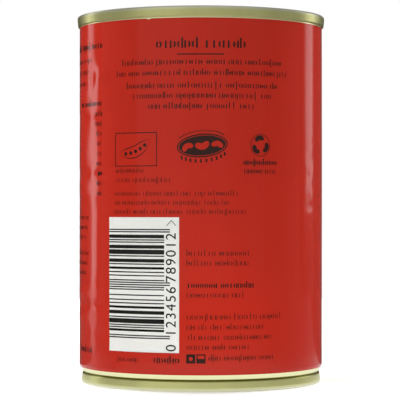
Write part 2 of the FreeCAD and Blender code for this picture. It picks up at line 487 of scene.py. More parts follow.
def soft_noise(around, height, cell_around, cell_up, seed):
    """Smooth bumps about one cell in size, from -1 to 1, that join up round the can."""
    columns = round(ROUND_THE_CAN / cell_around)
    rows = int(LABEL_HEAD / cell_up) + SPARE_ROWS
    knots = np.random.default_rng(seed).uniform(-1, 1, (rows, columns))
    across = (around / ROUND_THE_CAN) % 1 * columns
    up = height / cell_up
    left = np.floor(across).astype(int)
    below = np.floor(up).astype(int)
    ease_across = ease(across - left)
    ease_up = ease(up - below)
    left = left % columns
    right = (left + 1) % columns
    low = knots[below, left] * (1 - ease_across) + knots[below, right] * ease_across
    high = knots[below + 1, left] * (1 - ease_across) + knots[below + 1, right] * ease_across
    return low * (1 - ease_up) + high * ease_up


def bell(value):
    """A soft hump that is 1 at nought."""
    return np.exp(-(value**2))


print("label:", round(ROUND_THE_CAN, 1), "mm round and", round(LABEL_HEAD - LABEL_FOOT, 1), "high")

# %% [markdown]
# The loose side runs from the label's head to its foot, 39 mm to the left. For each height a row
# gives how far the paper is turned there, in degrees. Less than nought turns it away from the
# middle of the label. Then comes how flat it is: 1 is as round as the can, 2 is half as curved,
# and less than 1 is a ridge. Flat places widen a streak of light, and ridges pinch it.

# %% Loose side
LOOSE_PLACE = -39.0
LOOSE_SIDE = [
    (106, 1.0, 1.0),
    (97, 0.9, 1.1),
    (93, 0.0, 1.1),
    (88, -0.8, 1.2),
    (83.5, -2.2, 7.0),
    (80.2, -1.8, 1.0),
    (79, -1.7, 0.4),
    (77.6, -1.7, 1.0),
    (74, -1.7, 2.2),
    (70, -1.6, 4.5),
    (66.4, -2.2, 9.0),
    (64, -2.4, 1.0),
    (62.6, -2.8, 0.3),
    (61.3, -2.4, 1.0),
    (58.6, -2.0, 9.0),
    (55.8, -2.2, 1.0),
    (51, -3.2, 1.8),
    (43, -3.2, 1.5),
    (36, -3.4, 1.7),
    (30, -3.2, 0.9),
    (27.5, -2.2, 2.0),
    (24, -3.8, 0.3),
    (20, -2.6, 3.0),
    (16, -3.8, 0.5),
    (12, -3.0, 1.4),
    (5, -2.4, 1.4),
]
LEAN_REACH = 9.0
BEND_REACH = 8.0
RIDGE_REACH = 4.5
LOOSE_LIFT = 0.2
LOOSE_REACH = 14.0


def loose_side(around, height):
    """The lift of the paper's loose side, from its lean and its bend at each height."""
    levels, leans, flatness = np.array(LOOSE_SIDE[::-1]).T
    lean = np.radians(np.interp(height, levels, leans))
    bend = (1 - 1 / np.interp(height, levels, flatness)) / LABEL_RADIUS
    outwards = LOOSE_PLACE - around
    lift = lean * outwards * bell(outwards / LEAN_REACH)
    reach = np.where(bend > 0, BEND_REACH, RIDGE_REACH)
    lift = lift + bend * outwards**2 / 2 * bell(outwards / reach)
    return lift + LOOSE_LIFT * bell(outwards / LOOSE_REACH)


print("rows along the loose side:", len(LOOSE_SIDE))

# %% [markdown]
# Three things more bend the paper: a patch of tiny blisters where the glue dried unevenly, the
# glued lap round at the back left, where the sheet lies on its own other end, and a few creases.
# For each crease a row gives its place round and its height, its lean from level in degrees, its
# length, its width and how high it stands. Less than nought is a dent.

# %% Blisters, lap and creases
BLISTER_PLACE = (39.0, 62.0)
BLISTER_REACH = (3.6, 11.0)
BLISTER_CELL = (1.6, 2.2)
BLISTER_SEED = 13
BLISTER_RISE = 0.06
LAP_EDGE = -80.2
LAP_WIDTH = 8.0
LAP_EASE = 2.0
PAPER_THICK = 0.1
CREASES = [
    (-26.5, 77.0, 12, 2.4, 0.9, 0.12),
    (-33.0, 90.6, 90, 3.0, 3.4, 0.5),
    (-38.5, 90.4, 90, 3.2, 1.7, -0.17),
    (34.0, 26.5, 3, 14.0, 1.0, 0.03),
    (60.0, 80.0, 70, 8.0, 1.6, 0.10),
    (150.0, 30.0, 60, 7.0, 1.5, 0.12),
]


def blisters(around, height):
    """The lift of the blistered patch."""
    patch = bell((around - BLISTER_PLACE[0]) / BLISTER_REACH[0])
    patch = patch * bell((height - BLISTER_PLACE[1]) / BLISTER_REACH[1])
    return BLISTER_RISE * soft_noise(around, height, *BLISTER_CELL, BLISTER_SEED) * patch


def lap(around):
    """The lift where the sheet lies on its own other end: a cut edge, and a soft way back."""
    inwards = (LAP_EDGE - around) % ROUND_THE_CAN
    left_over = np.clip((LAP_WIDTH + LAP_EASE - inwards) / LAP_EASE, 0, 1)
    return PAPER_THICK * left_over**2 * (3 - 2 * left_over)


def crease(around, height, place, level, lean, length, width, rise):
    """The lift of one crease: a soft hump, long one way and narrow the other."""
    turn = math.radians(lean)
    away = around - place
    along = away * math.cos(turn) + (height - level) * math.sin(turn)
    beside = -away * math.sin(turn) + (height - level) * math.cos(turn)
    return rise * bell(along / length) * bell(beside / width)


print("creases:", len(CREASES))

# %% [markdown]
# All of it adds up to one height, and one function wraps flat coordinates round the can at that
# height. At the foot it also follows the neck, where the tin is drawn in.

# %% Wrapping
PAPER_STAND = 0.07
# Each layer of slow unevenness: its height, its cell round and up, and its seed.
UNEVEN = [(0.05, 21, 30, 11), (0.006, 6, 34, 12)]
CLOSEST = 0.015
PAPER_BEND_TOP = 6.0
NECK_BEND = 5.1
PAPER_REST = LABEL_RADIUS - 0.06
SAMPLES = 300


def paper_lift(around, height):
    """How far the paper stands off its resting place, in millimetres."""
    lift = PAPER_STAND + lap(around)
    for rise, cell_around, cell_up, seed in UNEVEN:
        lift = lift + rise * soft_noise(around, height, cell_around, cell_up, seed)
    lift = lift + loose_side(around, height) + blisters(around, height)
    for numbers in CREASES:
        lift = lift + crease(around, height, *numbers)
    return np.maximum(lift, CLOSEST)


def neck_inset(height):
    """How far the tin is drawn in at a height, in millimetres."""
    turned_in = np.clip(PAPER_BEND_TOP - height, 0, None)
    return NECK_BEND - np.sqrt(NECK_BEND**2 - turned_in**2)


def on_can(radius, around, height):
    """Millimetres out from the axis, round and up to points in metres."""
    turn = around / LABEL_RADIUS
    return np.stack((radius * np.sin(turn), -radius * np.cos(turn), height), axis=-1) * MM


def wrap(around, height, above=0.0):
    """Flat label coordinates in millimetres to points on the can in metres."""
    radius = PAPER_REST - neck_inset(height) + paper_lift(around, height) + above
    return on_can(radius, around, height)


sample_around = np.linspace(-ROUND_THE_CAN / 2, ROUND_THE_CAN / 2, SAMPLES)
sample_height = np.linspace(LABEL_FOOT, LABEL_HEAD, SAMPLES)
lifts = paper_lift(*np.meshgrid(sample_around, sample_height))
print("paper stands off by", round(lifts.min(), 3), "to", round(lifts.max(), 3), "mm")

# %% [markdown]
# ## The paper
# The paper is one fine grid wrapped round the can. Its cut edges and its back, which lies on the
# tin, close it to a solid sheet about 0.1 mm thick, and more where it stands off. At its foot it
# follows the neck inwards. At the lap it lies on itself, and its end shows as a pale line. A tiny
# nick is torn out of its upper edge. A grid is better here than a bent plane with modifiers,
# because the print has to sit on exactly the same surface.

# %% Label mesh
COLUMNS = 480
ROWS = 200
BACK_RADIUS = BODY_RADIUS + 0.004
NICK_PLACE = -15.4
NICK_WIDTH = 0.5
NICK_DEPTH = 0.3
NICK_FADE = 2.0
CUT_STEP = 0.01
SHARP_ANGLE = math.radians(40)


def sheet_rows(around):
    """Rows of points up the sheet's face and then down its back, which lies on the tin."""
    places, heights = np.meshgrid(around, np.linspace(LABEL_FOOT, LABEL_HEAD, ROWS))
    near_head = np.clip((heights - LABEL_HEAD + NICK_FADE) / NICK_FADE, 0, 1)
    heights = heights - NICK_DEPTH * bell((places - NICK_PLACE) / NICK_WIDTH) * near_head
    face = wrap(places, heights)
    back = np.stack((heights[-1], np.full(len(around), PAPER_BEND_TOP), heights[0]))
    return np.concatenate((face, on_can(BACK_RADIUS - neck_inset(back), around, back)))


def label_mesh(name, materials):
    """The wrapped sheet: its face, its cut edges and its back."""
    around = np.linspace(-ROUND_THE_CAN / 2, ROUND_THE_CAN / 2, COLUMNS, endpoint=False)
    around = np.sort(np.append(around, (LAP_EDGE, LAP_EDGE + CUT_STEP)))
    lap_column = int(np.searchsorted(around, LAP_EDGE))
    rows = sheet_rows(around)
    count = len(rows)
    columns = len(around)
    faces = []
    cut = []
    for row in range(count):
        above = (row + 1) % count
        for column in range(columns):
            after = (column + 1) % columns
            corners = ((row, column), (row, after), (above, after), (above, column))
            faces.append([line * columns + place for line, place in corners])
            at_edge = row in (ROWS - 1, count - 1)
            at_lap = row < ROWS and column == lap_column
            cut.append(int(at_edge or at_lap))
    mesh = bpy.data.meshes.new(name)
    mesh.from_pydata(rows.reshape(-1, 3).tolist(), [], faces)
    for material in materials:
        mesh.materials.append(material)
    mesh.polygons.foreach_set("material_index", cut)
    mesh.shade_smooth()
    mesh.set_sharp_from_angle(angle=SHARP_ANGLE)
    return link(bpy.data.objects.new(name, mesh))


print("label grid:", COLUMNS, "round by", ROWS, "up")

# %% [markdown]
# Offset print under a clear varnish: the ink gives the colour and the varnish gives the gloss.
# A coat over a matt base would show this too, but a base with the varnish's own gloss is simpler
# and looks the same. One function makes every ink, so all of them shine alike. The ink's strength
# drifts a little over the sheet and is very finely mottled, and the varnish has a faint fibre.


# %% Inks and paper
VARNISH_ROUGHNESS = 0.13
VARNISH_IOR = 1.33
SHINE_SPREAD = 0.15
MOTTLE_SPREAD = 0.07
FIBRE_STRENGTH = 0.06
FIBRE_DEPTH = 0.06 * MM
# How fine each kind of unevenness in the ink is, in bumps per metre.
DRIFT_SCALE = 38.0
MOTTLE_SCALE = 2600.0
FIBRE_SCALE = 900.0
SHINE_SCALE = 160.0


def ink_material(name, tone, drift=0.06, gloss=VARNISH_ROUGHNESS):
    """Varnished ink of a colour, with slow drift and fine mottle."""
    material, tree, output = new_material(name)
    where = add_node(tree, "ShaderNodeTexCoord").outputs["Object"]
    weaker = [min(1.0, channel * (1 + drift)) for channel in tone]
    stronger = [channel * (1 - drift) for channel in tone]
    cloud = noise(tree, where, DRIFT_SCALE, detail=2.0)
    slow = blend(tree, cloud, colour(*stronger), colour(*weaker))
    fine = noise(tree, where, MOTTLE_SCALE, detail=2.0)
    mottle = spread(tree, fine, 1 - MOTTLE_SPREAD, 1 + MOTTLE_SPREAD)
    mottled = add_node(
        tree, "ShaderNodeVectorMath", {0: slow, "Scale": mottle}, operation="SCALE"
    )
    fibre = noise(tree, where, FIBRE_SCALE, detail=4.0)
    bump = add_node(
        tree,
        "ShaderNodeBump",
        {"Strength": FIBRE_STRENGTH, "Distance": FIBRE_DEPTH, "Height": fibre},
    )
    patches = noise(tree, where, SHINE_SCALE)
    shine = spread(tree, patches, gloss * (1 - SHINE_SPREAD), gloss * (1 + SHINE_SPREAD))
    shader = add_node(
        tree,
        "ShaderNodeBsdfPrincipled",
        {
            "Base Color": mottled.outputs["Vector"],
            "Roughness": shine,
            "IOR": VARNISH_IOR,
            "Normal": bump.outputs[0],
        },
    )
    tree.links.new(shader.outputs[0], output.inputs["Surface"])
    return material


RED_INK = ink_material("red_ink_varnished", (0.485, 0.0175, 0.0055))
WHITE_PAPER = ink_material("white_paper_varnished", (0.80, 0.81, 0.77), drift=0.015)
BLACK_INK = ink_material("black_ink_varnished", (0.008, 0.009, 0.007))
OVERPRINT = ink_material("black_ink_over_red", (0.028, 0.008, 0.004))
CUT_PAPER = ink_material("cut_paper", (0.62, 0.45, 0.40), gloss=0.8)


def put_on_label(piece):
    """Makes a piece ride with the can."""
    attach(piece, ROOT)
    return piece


label_paper = put_on_label(label_mesh("label_paper", [RED_INK, CUT_PAPER]))
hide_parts("label")
print("label faces:", len(label_paper.data.polygons))

# %% [markdown]
# ## How the print is laid down
# Ink has no thickness worth the name. A picture on the paper would be the usual way, but as thin
# meshes the print stays sharp however close the viewer comes. Each block of print is drawn flat
# with bars, discs and rings, then sliced into strips narrow enough to bend, and then wrapped with
# the same function as the paper, a hair above it. The words of the label are only hinted at: rows
# of little upright marks, grouped like words, that read as small print from arm's length and say
# nothing.

# %% Printing helpers
STRIP = 0.7
INK_LIFT = 0.045


def slice_into_strips(bm):
    """Cuts flat shapes along a grid, so that they can bend with the paper."""
    for axis in (0, 1):
        spots = [vertex.co[axis] for vertex in bm.verts]
        first = math.floor(min(spots) / STRIP) + 1
        last = math.ceil(max(spots) / STRIP)
        normal = (1, 0, 0) if axis == 0 else (0, 1, 0)
        for number in range(first, last):
            place = [0, 0, 0]
            place[axis] = number * STRIP
            geometry = bm.verts[:] + bm.edges[:] + bm.faces[:]
            bmesh.ops.bisect_plane(bm, geom=geometry, plane_co=place, plane_no=normal)


def print_piece(name, draw, ink, layer=1):
    """Draws flat shapes in label millimetres, wraps them round the can and inks them."""

    def draw_in_strips(bm):
        draw(bm)
        slice_into_strips(bm)

    printed = mesh_object(name, draw_in_strips, [ink])
    mesh = printed.data
    flat = np.empty(len(mesh.vertices) * 3)
    mesh.vertices.foreach_get("co", flat)
    flat = flat.reshape(-1, 3)
    wrapped = wrap(flat[:, 0], flat[:, 1], above=INK_LIFT * layer)
    mesh.vertices.foreach_set("co", wrapped.ravel())
    mesh.shade_smooth()
    mesh.update()
    put_on_label(printed)
    print(name, "faces:", len(mesh.polygons))


print("ink lies", INK_LIFT, "mm above the paper, cut every", STRIP, "mm")

# %% [markdown]
# Nearly everything printed is made of a few flat shapes: bars, frames, discs, rings and ribbons.
# Curves could be drawn as splines and converted, but a flat ribbon needs only a list of points.

# %% Flat shapes
ROUND_STEPS = 48


def bar(bm, left, bottom, right, top):
    """A rectangle."""
    corners = ((left, bottom), (right, bottom), (right, top), (left, top))
    bm.faces.new([bm.verts.new((across, up, 0)) for across, up in corners])


def frame_line(bm, left, bottom, right, top, line):
    """A rectangle's outline, as four bars that meet at the corners."""
    bar(bm, left, bottom, right, bottom + line)
    bar(bm, left, top - line, right, top)
    bar(bm, left, bottom + line, left + line, top - line)
    bar(bm, right - line, bottom + line, right, top - line)


def ellipse_points(centre, wide, tall, start=0, end=360, steps=ROUND_STEPS):
    """Points along an ellipse, in degrees anticlockwise from its right."""
    across, up = centre
    turns = [math.radians(start + (end - start) * step / steps) for step in range(steps + 1)]
    return [(across + wide * math.cos(turn), up + tall * math.sin(turn)) for turn in turns]


def disc(bm, centre, wide, tall=None):
    """A filled ellipse, or a disc if only its width is given."""
    rim = ellipse_points(centre, wide, tall or wide)[:-1]
    bm.faces.new([bm.verts.new((across, up, 0)) for across, up in rim])


def ribbon(bm, one_side, other_side):
    """Quads between two lines of points."""
    first = [bm.verts.new((across, up, 0)) for across, up in one_side]
    second = [bm.verts.new((across, up, 0)) for across, up in other_side]
    for number in range(len(first) - 1):
        bm.faces.new((first[number], first[number + 1], second[number + 1], second[number]))


def ring(bm, centre, wide, tall, line, start=0, end=360, steps=ROUND_STEPS):
    """An elliptical line, or a part of one."""
    outer = ellipse_points(centre, wide, tall, start, end, steps)
    inner = ellipse_points(centre, wide - line, tall - line, start, end, steps)
    ribbon(bm, outer, inner)


print("a disc has", len(ellipse_points((0, 0), 1, 1)) - 1, "sides")

# %% [markdown]
# The label's own ornament is the kidney bean. It could be an outline drawn point by point, but a
# bean is simply a thick piece of a ring with round ends. So a few numbers say it all: the bend's
# radius and half the thickness, as shares of the bean's length, how far the bend sweeps to each
# side, and how far the bean's middle lies from the bend's, as a share of that radius.

# %% Bean shape
BEAN_STEPS = 20
BEAN_BEND = 0.36
BEAN_HALF = 0.23
BEAN_SWEEP = math.radians(48)
BEAN_MIDDLE = 0.8
TIP_SHARE = 0.002


def bean(bm, centre, length, lean):
    """A kidney bean. Its back looks up, and lean turns it anticlockwise, in degrees."""
    bend = BEAN_BEND * length
    half = BEAN_HALF * length
    reach = BEAN_SWEEP + half / bend
    tip = half / bend / reach
    turn = math.radians(90 + lean)
    across = centre[0] - BEAN_MIDDLE * bend * math.cos(turn)
    up = centre[1] - BEAN_MIDDLE * bend * math.sin(turn)
    outer, inner = [], []
    for step in range(BEAN_STEPS + 1):
        along = math.sin(math.pi * (step / BEAN_STEPS - 0.5))
        rounding = max(0.0, (abs(along) - 1 + tip) / tip)
        thick = half * math.sqrt(max(TIP_SHARE, 1 - rounding**2))
        angle = turn + along * reach
        for line, radius in ((outer, bend + thick), (inner, bend - thick)):
            line.append((across + radius * math.cos(angle), up + radius * math.sin(angle)))
    ribbon(bm, outer, inner)


print("a 4 mm bean is", round(2 * BEAN_HALF * 4, 2), "mm thick")

# %% [markdown]
# A line of small print is built mark by mark, but no letter is drawn. Type set in a font would
# be quicker, but it would say something. Each mark is a pair of short strokes, straight or bowed
# like brackets, now and then with a tall or a hanging one, or a dash between the two. The marks
# gather in words of chance lengths, from a seed of their own, so that the same print comes out
# each time.


# %% Hinted small print
WORD_GAP = 0.62
WORD_RANGE = (2, 11)
LEAST_ROOM = 1.5
NARROW_SHARE = 0.16
BOWED_SHARE = 0.62
TALL_SHARE = 0.24
HANGING_SHARE = 0.12
DASH_SHARE = 0.25
MARK_HALF = 0.42
TALL_RISE = 0.42
HANGING_DROP = 0.36
DASH_INSET = 1.4
BOW_REACH = 66
BOW_STEPS = 6


def word_lengths(room, chance):
    """Word lengths that fill about so many marks' room, gaps included."""
    words = []
    while room > LEAST_ROOM:
        word = int(min(chance.integers(*WORD_RANGE), math.ceil(room)))
        words.append(word)
        room -= word + WORD_GAP
    return words or [1]


def hinted_mark(bm, at, foot, pitch, size, line, chance):
    """A pair of short strokes, or a single one."""
    half = pitch * MARK_HALF
    middle = at + pitch / 2
    rise = size * (TALL_RISE if chance.random() < TALL_SHARE else 0.0)
    drop = size * (HANGING_DROP if chance.random() < HANGING_SHARE else 0.0)
    if chance.random() < NARROW_SHARE:
        bar(bm, middle - line / 2, foot - drop, middle + line / 2, foot + size + rise)
        return
    for side in (-1, 1):
        if chance.random() < BOWED_SHARE:
            facing = 90 - 90 * side
            start, end = facing - BOW_REACH, facing + BOW_REACH
            ring(bm, (middle, foot + size / 2), half, size / 2, line, start, end, BOW_STEPS)
            continue
        edge = middle + side * (half - line / 2)
        bar(bm, edge - line / 2, foot - drop, edge + line / 2, foot + size + rise)
        drop = 0.0
        rise = 0.0
    if chance.random() < DASH_SHARE:
        inner = half - DASH_INSET * line
        level = foot + size / 2
        bar(bm, middle - inner, level - line / 2, middle + inner, level + line / 2)


def hinted_line(bm, left, right, foot, size, weight, seed):
    """One line of hinted print. size is the height of a small mark and weight the width of
    its strokes, as a share of that height."""
    chance = np.random.default_rng(seed)
    words = word_lengths((right - left) / size, chance)
    pitch = (right - left) / (sum(words) + WORD_GAP * (len(words) - 1))
    at = left
    for word in words:
        for _ in range(word):
            hinted_mark(bm, at, foot, pitch, size, size * weight, chance)
            at += pitch
        at += pitch * WORD_GAP


print("words of a 50 mm line:", word_lengths(50 / 1.3, np.random.default_rng(0)))

# %% [markdown]
# ## The text on the shown side
# The maker's message sits at the top: a heading, a thin rule and five centred lines. Lower down
# a block of small lines runs beside the barcode. Each line could be its own object, but one mesh
# for a whole block keeps the model light. An entry is a line's left and right end and the height
# of its foot, all in label millimetres. A heading also has the size of its marks, their weight
# and its seed.

# %% Text blocks
SMALL_LETTER = 1.3
NOTE_LETTER = 1.15
MESSAGE_WEIGHT = 0.2
NOTE_WEIGHT = 0.14
PLAIN = 0.15
MESSAGE_SEED = 10
NOTE_SEED = 20
SMALL_SEED = 30
HEADING = (-13.3, 13.2, 98.0, 2.1, 0.24, 1)
RULE = (-6.8, 6.6, 96.2)
RULE_LINE = 0.32
MESSAGE = [
    (-24.9, 25.0, 93.3),
    (-26.9, 27.3, 90.2),
    (-22.7, 23.4, 86.6),
    (-20.9, 21.3, 83.7),
    (-15.6, 15.9, 80.7),
]
ORIGIN_NOTES = [(-26.9, -16.9, 62.5), (-26.9, -8.9, 59.8)]
STANDARD_NOTES = [(-26.9, 11.0, 55.9), (-27.3, 8.1, 53.3), (-27.3, 13.1, 50.7)]
RINSE_NOTES = [(-4.2, 14.0, 38.8), (-4.2, 14.0, 36.0)]
DATE_HEADING = (-4.2, 15.6, 29.7, SMALL_LETTER, 0.27, 40)
DATE_NOTE = (-4.2, 12.8, 26.9)
ADDRESS = [
    (-4.2, 24.6, 20.7),
    (-4.2, 18.6, 17.8),
    (-4.2, 21.3, 14.9),
    (-4.2, 14.4, 12.1),
    (2.0, 22.0, 9.0),
]


def draw_message(bm):
    """The heading, its rule and the centred lines."""
    hinted_line(bm, *HEADING)
    left, right, level = RULE
    bar(bm, left, level - RULE_LINE / 2, right, level + RULE_LINE / 2)
    for number, line in enumerate(MESSAGE):
        hinted_line(bm, *line, SMALL_LETTER, MESSAGE_WEIGHT, MESSAGE_SEED + number)


def draw_notes(bm):
    """The lines under the frame, beside the barcode and at the foot."""
    for number, line in enumerate(ORIGIN_NOTES + STANDARD_NOTES):
        hinted_line(bm, *line, NOTE_LETTER, NOTE_WEIGHT, NOTE_SEED + number)
    for number, line in enumerate(RINSE_NOTES + [DATE_NOTE] + ADDRESS):
        hinted_line(bm, *line, SMALL_LETTER, PLAIN, SMALL_SEED + number)
    hinted_line(bm, *DATE_HEADING)


print_piece("print_message", draw_message, OVERPRINT)
print_piece("print_notes", draw_notes, OVERPRINT)

# %% [markdown]
# ## Three small marks
# Between the message and the notes stand three marks of like size: a framed box, a dark oval and
# a ring. Real labels carry certificates there. These ones are plain ornaments, built from the
# same few flat shapes. The first is a pod of beans inside a frame. The pod is two lines that are
# worked out in its own coordinates, along and across, and then bent, leant and set in the box.

# %% Box mark
BOX = (-26.9, 64.4, -12.8, 74.1)
BOX_LINE = 0.22
POD_HALF = 5.5
POD_TALL = 1.75
POD_SAG = 1.5
POD_REST = 0.4
POD_TAPER = 3
POD_LEAN = math.radians(21)
POD_LINE = 0.24
POD_STEPS = 24
POD_BEAN = 0.52
POD_BEANS = 5
POD_PITCH = 0.31


def pod_spot(along, side):
    """A place in the pod. along runs from -1 to 1, and side from its lower line to its upper."""
    across = POD_HALF * along
    up = POD_SAG * (along**2 - POD_REST) + side * (1 - abs(along) ** POD_TAPER)
    return (
        (BOX[0] + BOX[2]) / 2 + across * math.cos(POD_LEAN) - up * math.sin(POD_LEAN),
        (BOX[1] + BOX[3]) / 2 + across * math.sin(POD_LEAN) + up * math.cos(POD_LEAN),
    )


def draw_box_mark(bm):
    """A frame round an open pod with five round beans in it."""
    frame_line(bm, *BOX, BOX_LINE)
    steps = [2 * step / POD_STEPS - 1 for step in range(POD_STEPS + 1)]
    for side in (-1, 1):
        outer = [pod_spot(along, side * POD_TALL) for along in steps]
        inner = [pod_spot(along, side * (POD_TALL - POD_LINE)) for along in steps]
        ribbon(bm, outer, inner)
    for number in range(POD_BEANS):
        disc(bm, pod_spot(POD_PITCH * (number - (POD_BEANS - 1) / 2), 0), POD_BEAN)


print_piece("print_box_mark", draw_box_mark, OVERPRINT)

# %% [markdown]
# The second mark is an oval seal with a border of small blocks and three light beans. The blocks
# could be placed one by one, but each run of them is evenly spaced, so a row gives where it
# starts and ends in degrees, how many there are, how tall and how broad each one is, and how far
# out it stands. A bean's row gives its shift from the middle, its length and its lean.

# %% Seal
SEAL_CENTRE = (0.4, 70.2)
SEAL_SIZE = (7.3, 3.35)
SEAL_LINE = 0.34
SEAL_INSET = (0.6, 0.55)
SEAL_BLOCKS = [(40, 140, 19, 0.45, 0.32, 0.85), (222, 318, 10, 1.05, 0.5, 1.0)]
SEAL_BEANS = [(-4.3, 3.3, 24), (0.0, 4.0, 186), (4.3, 3.3, -14)]
SEAL_LEAN = math.radians(5)


def lean_seal(bm):
    """Turns what is drawn so far a little round the seal's middle."""
    middle = (SEAL_CENTRE[0], SEAL_CENTRE[1], 0)
    turn = mathutils.Matrix.Rotation(SEAL_LEAN, 3, "Z")
    bmesh.ops.rotate(bm, cent=middle, matrix=turn, verts=bm.verts)


def draw_seal(bm):
    """A dark oval ring, a dark oval, and small blocks set along it above and below."""
    wide, tall = SEAL_SIZE
    ring(bm, SEAL_CENTRE, wide, tall, SEAL_LINE)
    disc(bm, SEAL_CENTRE, wide - SEAL_INSET[0], tall - SEAL_INSET[1])
    for start, end, count, height, breadth, away in SEAL_BLOCKS:
        for number in range(count):
            angle = math.radians(start + (end - start) * number / (count - 1))
            across = SEAL_CENTRE[0] + (wide + away) * math.cos(angle)
            up = SEAL_CENTRE[1] + (tall + away) * math.sin(angle)
            bar(bm, across - breadth / 2, up - height / 2, across + breadth / 2, up + height / 2)
    lean_seal(bm)


def draw_seal_beans(bm):
    """Light beans on the dark oval, the middle one larger."""
    for shift, length, lean in SEAL_BEANS:
        bean(bm, (SEAL_CENTRE[0] + shift, SEAL_CENTRE[1]), length, lean)
    lean_seal(bm)


print_piece("print_seal", draw_seal, OVERPRINT)
print_piece("print_seal_beans", draw_seal_beans, RED_INK, layer=2)

# %% [markdown]
# The third mark is three beans that chase each other round a ring, with a bold and a plain line
# below. They are one bean, drawn at three turns. The two lines are given as the headings are.

# %% Ring mark
RING_CENTRE = (17.7, 70.4)
RING_RADIUS = 3.2
RING_LINE = 0.16
RING_TURNS = (100, 220, 340)
RING_BEAN = 2.9
RING_BEAN_OUT = 0.62
RING_HEADING = (12.2, 23.4, 64.7, SMALL_LETTER, 0.27, 50)
RING_NOTE = (12.5, 22.7, 62.2, SMALL_LETTER, 0.17, 51)


def draw_ring_mark(bm):
    """The ring, its beans and the two lines."""
    ring(bm, RING_CENTRE, RING_RADIUS, RING_RADIUS, RING_LINE)
    for angle in RING_TURNS:
        turn = math.radians(angle)
        across = RING_CENTRE[0] + RING_BEAN_OUT * RING_RADIUS * math.cos(turn)
        up = RING_CENTRE[1] + RING_BEAN_OUT * RING_RADIUS * math.sin(turn)
        bean(bm, (across, up), RING_BEAN, angle - 90)
    hinted_line(bm, *RING_HEADING)
    hinted_line(bm, *RING_NOTE)


print_piece("print_ring_mark", draw_ring_mark, OVERPRINT)

# %% [markdown]
# ## The barcode
# A shop's barcode is printed at its standard size, 0.33 mm to the module, and turned so that its
# bars run round the can: a scanner then reads it along the straight side. It has two long guard
# bars at each end and in the middle, and six digits on each side of the middle, each made of two
# bars and two gaps that fill seven modules. This one stands for nothing: its widths come from
# chance, and the figures beside it simply run on from nought.

# %% Barcode
PANEL = (-29.2, 11.2, -6.25, 49.8)
BARS_LEFT = -29.15
BARS_RIGHT = -10.6
GUARD_RIGHT = -8.9
MODULE = 0.33
BARS_FOOT = 15.1
BARS_SEED = 5
DIGIT_MODULES = 7
BARS_AND_GAPS = 4
WIDEST_BAR = 4
DIGITS_EACH_SIDE = 6
GUARD = (1, 1, 1)
MIDDLE_GUARD = (1, 1, 1, 1, 1)


def digit_widths(chance):
    """Two bars and two gaps, each one to four modules wide, that fill a digit's place."""
    while True:
        widths = chance.integers(1, WIDEST_BAR + 1, size=BARS_AND_GAPS).tolist()
        if sum(widths) == DIGIT_MODULES:
            return widths


def draw_panel(bm):
    """The white panel under the bars."""
    bar(bm, *PANEL)


def draw_bars(bm):
    """Every dark bar, from the bottom up."""
    chance = np.random.default_rng(BARS_SEED)
    # Each run: its widths, whether it starts dark, and whether it is a guard.
    runs = [(GUARD, True, True)]
    runs += [(digit_widths(chance), False, False) for _ in range(DIGITS_EACH_SIDE)]
    runs += [(MIDDLE_GUARD, False, True)]
    runs += [(digit_widths(chance), True, False) for _ in range(DIGITS_EACH_SIDE)]
    runs += [(GUARD, True, True)]
    foot = BARS_FOOT
    for widths, dark, guard in runs:
        for width in widths:
            if dark:
                right = GUARD_RIGHT if guard else BARS_RIGHT
                bar(bm, BARS_LEFT, foot, right, foot + width * MODULE)
            foot += width * MODULE
            dark = not dark
    print("barcode is", round(foot - BARS_FOOT, 2), "mm long")


print_piece("print_barcode_panel", draw_panel, WHITE_PAPER)
print_piece("print_barcode_bars", draw_bars, BLACK_INK, layer=2)

# %% [markdown]
# The figures stand beside the bars and are turned to read upwards. Figures are generic, so they
# are drawn with the built-in font. Each one is made as a text, turned into a mesh, and its faces
# are carried over. A small arrowhead keeps the quiet zone at the end free.

# %% Barcode figures
FIGURE_HEIGHT = 2.95
FONT_SHARE = 0.7
FIGURE_LEFT = -7.2
FIGURE_GROUPS = [("0", 12.6), ("123456", 16.9), ("789012", 32.2)]
FIGURE_PITCH = 2.43
QUIET_TIP = (-8.5, 48.9)
QUIET_REACH = (1.35, 1.5)
QUIET_LINE = 0.13


def figure_shape(bm, figure, across, up):
    """A figure from the built-in font, turned to read upwards, its foot at across."""
    curve = bpy.data.curves.new("figure", "FONT")
    curve.body = figure
    curve.size = FIGURE_HEIGHT / FONT_SHARE
    curve.align_x = "CENTER"
    holder = link(bpy.data.objects.new("figure", curve))
    outline = bpy.data.meshes.new_from_object(holder)
    spots = [(across - vertex.co.y, up + vertex.co.x, 0) for vertex in outline.vertices]
    corners = [bm.verts.new(spot) for spot in spots]
    for polygon in outline.polygons:
        bm.faces.new([corners[index] for index in polygon.vertices])
    bpy.data.objects.remove(holder)
    bpy.data.curves.remove(curve)
    bpy.data.meshes.remove(outline)


def draw_figures(bm):
    """The figures, and the two strokes of the arrowhead."""
    for figures, middle in FIGURE_GROUPS:
        for number, figure in enumerate(figures):
            figure_shape(bm, figure, FIGURE_LEFT, middle + FIGURE_PITCH * number)
    across, up = QUIET_TIP
    for side in (-1, 1):
        end = (across + side * QUIET_REACH[0], up - QUIET_REACH[1])
        above = [(across, up + QUIET_LINE), (end[0], end[1] + QUIET_LINE)]
        below = [(across, up - QUIET_LINE), (end[0], end[1] - QUIET_LINE)]
        ribbon(bm, above, below)


print_piece("print_barcode_figures", draw_figures, BLACK_INK, layer=2)

# %% [markdown]
# Under the barcode stand two short codes, and beside them two small square marks that begin the
# last line. Both squares are plain: one is solid with a dot left open, one is an outline whose
# lower half is filled. The open dot is a disc of the label's red on top, because cutting a hole
# in a face is more work and looks the same.

